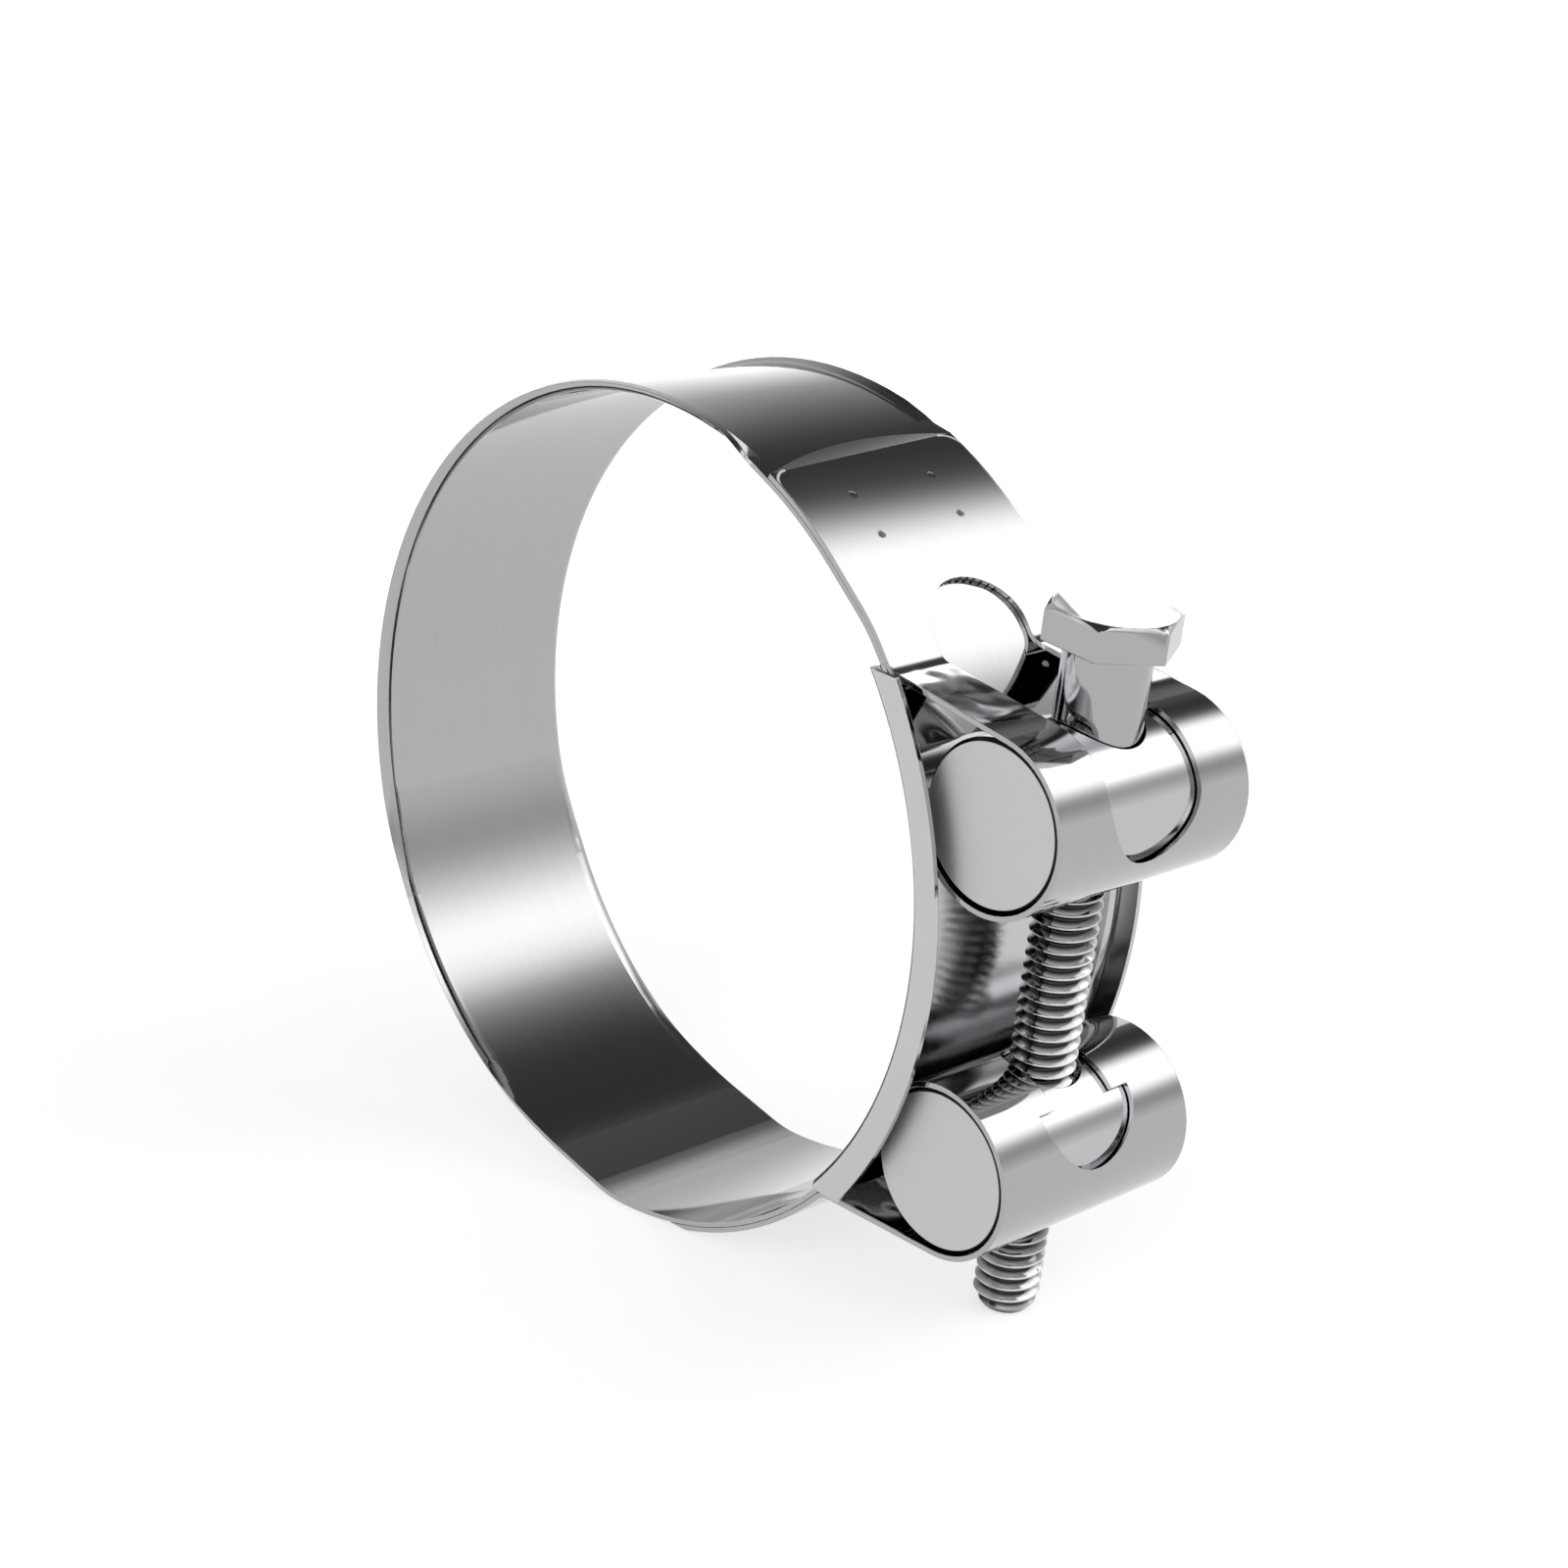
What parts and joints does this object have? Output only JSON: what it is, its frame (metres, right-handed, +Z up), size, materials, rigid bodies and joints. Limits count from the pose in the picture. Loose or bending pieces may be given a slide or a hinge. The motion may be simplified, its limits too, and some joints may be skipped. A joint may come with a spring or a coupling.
{
  "type": "heavy single bolt hose clamp",
  "caption": "Band clamp for a hose or pipe: a steel ring with two looped ends on cross trunnions, drawn together by a hex head screw.",
  "frame": {"origin": "centre of the ring's bore, at the middle of the band's width", "axes": "+Y along the ring's axis, +X towards the screw, +Z up as the clamp stands on the ring and the screw's tip"},
  "size_m": [0.1013, 0.0282, 0.0854],
  "materials": {
    "band": "polished",
    "bridge": "polished",
    "trunnion": "polished",
    "sleeve": "polished",
    "screw": "polished"
  },
  "bodies": {
    "band": {"band": "band", "upper_trunnion": "trunnion", "lower_trunnion": "trunnion"},
    "bridge": {"bridge": "bridge"},
    "sleeve": {"spacer_sleeve": "sleeve"},
    "screw": {"screw": "screw"}
  },
  "joints": [
    {"name": "bridge_creep", "type": "hinge", "parent": "band", "child": "bridge", "pos_m": [0, 0, 0], "axis": [0, 1, 0], "range_deg": [-1.5, 1.5]},
    {"name": "screw_travel", "type": "slide", "parent": "band", "child": "sleeve", "axis": [0.1585, 0, 0.9874], "range_m": [0, 0.01016]},
    {"name": "screw_turn", "type": "hinge", "parent": "sleeve", "child": "screw", "pos_m": [0.04688, 0, -0.00752], "axis": [0.1585, 0, 0.9874], "range_deg": [0, 2880]}
  ],
  "couplings": [
    {"joint": "screw_turn", "follows": "screw_travel", "rad_per_m": 4947.4}
  ]
}
